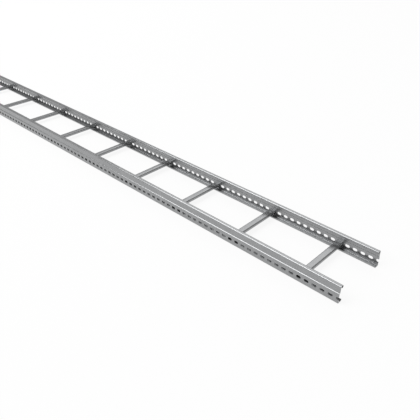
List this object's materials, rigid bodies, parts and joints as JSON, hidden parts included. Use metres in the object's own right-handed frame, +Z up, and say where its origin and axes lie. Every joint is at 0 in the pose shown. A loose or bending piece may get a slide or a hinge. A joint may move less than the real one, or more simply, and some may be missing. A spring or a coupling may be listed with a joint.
{
  "type": "cable ladder section",
  "caption": "Straight cable ladder section: slotted side rails with a rolled top bead, joined by plain channel rungs.",
  "frame": {"origin": "middle of the underside: half way along, half way across, at the level the ladder stands on", "axes": "+X along the ladder, +Y across it from the front rail to the rear rail, +Z up"},
  "size_m": [3, 0.215, 0.0565],
  "materials": {
    "side_rail": "galvanised sheet steel, roll-formed, satin",
    "rung": "galvanised sheet steel, roll-formed, satin"
  },
  "bodies": {
    "root": {"side_rail_front": "side_rail", "side_rail_rear": "side_rail", "rung_01": "rung", "rung_02": "rung", "rung_03": "rung", "rung_04": "rung", "rung_05": "rung", "rung_06": "rung", "rung_07": "rung", "rung_08": "rung", "rung_09": "rung", "rung_10": "rung", "rung_11": "rung", "rung_12": "rung"}
  },
  "joints": []
}
